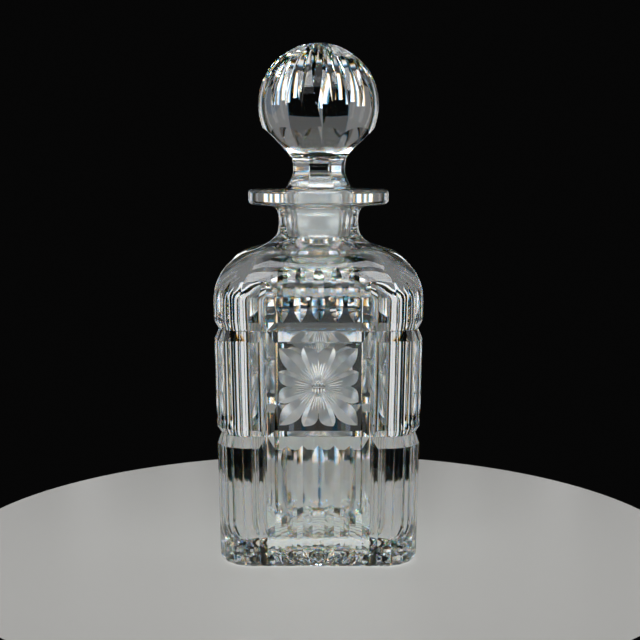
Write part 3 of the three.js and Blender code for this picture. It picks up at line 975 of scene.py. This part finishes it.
def studio_lights():
    """Name, glow, size, place and aim of every light. Dim panels and narrow strips stand round
    the glass in a dark studio, and every cut edge picks one of them up as a bright line."""
    lights = [
        ("left_back_panel", 0.2, (2.0, 3.0), (-1.76, 2.0, 1.1), (-1.76, 0, 1.1)),
        ("right_back_panel", 0.2, (2.0, 3.0), (1.76, 2.0, 1.1), (1.76, 0, 1.1)),
        ("top_back_panel", 0.09, (1.5, 1.6), (0, 2.0, 1.38), (0, 0, 1.38)),
        ("behind_panel", 0.05, (0.34, 0.26), (0, 0.52, 0.0), (0, 0, 0.0)),
        ("behind_level_strip", 0.9, (0.24, 0.03), (0, 0.5, -0.085), (0, 0, 0.1)),
    ]
    for side, sign, shift, drop in (("left", -1, 0.0, 0.0), ("right", 1, 0.008, 0.01)):
        for k, (glow, width, height, across, up) in enumerate(BEHIND_BALL, start=1):
            place = (sign * (across + shift), 0.5, up - drop)
            lights.append((f"behind_ball_{side}_{k}", glow, (width, height), place, (0, 0, 0.21)))
    lights += [
        ("behind_strip_far_left", 0.9, (0.06, 0.5), (-0.3, 0.5, -0.1), (-0.05, 0, 0.2)),
        ("behind_strip_left", 0.9, (0.035, 0.4), (-0.15, 0.5, -0.27), (-0.02, 0, 0.2)),
        ("behind_strip_near_left", 0.9, (0.025, 0.4), (-0.055, 0.5, -0.32), (0, 0, 0.2)),
        ("behind_strip_near_right", 0.9, (0.025, 0.4), (0.065, 0.5, -0.32), (0, 0, 0.2)),
        ("behind_strip_right", 0.9, (0.035, 0.4), (0.15, 0.5, -0.27), (0.02, 0, 0.2)),
        ("behind_strip_far_right", 0.9, (0.06, 0.5), (0.3, 0.5, -0.1), (0.05, 0, 0.2)),
        ("left_strip_front", 0.9, (0.05, 0.8), (-0.50, -0.16, 0.3), (0, 0, 0.12)),
        ("left_strip_middle", 0.8, (0.13, 0.8), (-0.56, 0.04, 0.3), (0, 0, 0.12)),
        ("left_strip_back", 1.1, (0.05, 0.8), (-0.50, 0.26, 0.3), (0, 0, 0.12)),
        ("right_strip_front", 0.9, (0.04, 0.8), (0.50, -0.2, 0.3), (0, 0, 0.12)),
        ("right_strip_middle", 0.8, (0.11, 0.8), (0.56, 0.02, 0.3), (0, 0, 0.12)),
        ("right_strip_back", 1.1, (0.06, 0.8), (0.50, 0.24, 0.3), (0, 0, 0.12)),
        ("overhead_softbox", 3.4, (0.4, 0.25), (0, 0.08, 0.78), (0, 0, 0.12)),
        ("front_top_softbox", 6.0, (0.34, 0.2), (0, -0.24, 0.46), (0, 0, 0.2)),
        ("front_fill", 0.5, (1.2, 0.5), (0, -0.9, 0.75), (0, 0, 0.12)),
    ]
    return lights


class DECANTER_OT_stage(bpy.types.Operator):
    """Adds the floor, the lights and the camera"""

    bl_idname = "decanter.stage"
    bl_label = "Studio"

    def execute(self, context):
        f = context.scene.decanter_finish
        bm = bmesh.new()
        bmesh.ops.create_circle(bm, cap_ends=True, segments=128, radius=STUDIO_FLOOR_RADIUS)
        bmesh.ops.translate(bm, verts=bm.verts, vec=(0, 0, -STUDIO_FLOOR_DROP))
        floor = finished(bm, "studio_floor")
        material = bpy.data.materials.new("matt_card")
        material.use_nodes = True
        bsdf = material.node_tree.nodes["Principled BSDF"]
        bsdf.inputs["Base Color"].default_value = linear(f.floor_colour)
        bsdf.inputs["Roughness"].default_value = 0.4
        floor.data.materials.append(material)

        for name, glow, size, place, aim in studio_lights():
            light = bpy.data.lights.new(name, "AREA")
            light.shape = "RECTANGLE"
            light.size, light.size_y = size
            light.energy = glow * math.pi * size[0] * size[1]
            lamp = bpy.data.objects.new(name, light)
            lamp.location = place
            lamp.rotation_euler = (Vector(aim) - Vector(place)).to_track_quat("-Z", "Y").to_euler()
            lamp.visible_camera = False
            context.scene.collection.objects.link(lamp)

        world = bpy.data.worlds.new("studio")
        world.use_nodes = True
        world.node_tree.nodes["Background"].inputs["Color"].default_value = ROOM_GLOW
        context.scene.world = world
        context.scene.view_settings.view_transform = "Standard"

        camera = bpy.data.objects.new("camera", bpy.data.cameras.new("camera"))
        camera.data.lens = CAMERA_LENS
        camera.data.sensor_width = SENSOR_WIDTH
        camera.location = CAMERA_PLACE
        camera.rotation_euler = (math.radians(90 - CAMERA_DOWN), 0, 0)
        context.scene.collection.objects.link(camera)
        context.scene.camera = camera
        return {"FINISHED"}


# ---------------------------------------------------------------- panel and registration


class DECANTER_PT_panel(bpy.types.Panel):
    """Sizes, finishes and steps of the decanter"""

    bl_idname = "DECANTER_PT_panel"
    bl_label = "Cut Crystal Decanter"
    bl_space_type = "VIEW_3D"
    bl_region_type = "UI"
    bl_category = "Decanter"

    def draw(self, context):
        for group in ("decanter_bottle", "decanter_cuts", "decanter_stopper", "decanter_finish"):
            settings = getattr(context.scene, group)
            box = self.layout.box()
            for name in settings.bl_rna.properties.keys():
                if name not in {"rna_type", "name"}:
                    box.prop(settings, name)
        for step in STEPS:
            self.layout.operator(step.bl_idname)


GROUPS = {
    "decanter_bottle": BottleSizes,
    "decanter_cuts": CutSizes,
    "decanter_stopper": StopperSizes,
    "decanter_finish": FinishSettings,
}
STEPS = (DECANTER_OT_bottle, DECANTER_OT_stopper, DECANTER_OT_stage)


def register():
    for cls in (*GROUPS.values(), *STEPS, DECANTER_PT_panel):
        bpy.utils.register_class(cls)
    for name, group in GROUPS.items():
        setattr(bpy.types.Scene, name, PointerProperty(type=group))


def unregister():
    for name in GROUPS:
        delattr(bpy.types.Scene, name)
    for cls in reversed((*GROUPS.values(), *STEPS, DECANTER_PT_panel)):
        bpy.utils.unregister_class(cls)


def main():
    register()
    bpy.ops.decanter.bottle()
    bpy.ops.decanter.stopper()
    bpy.ops.decanter.stage()


if __name__ == "__main__":
    main()
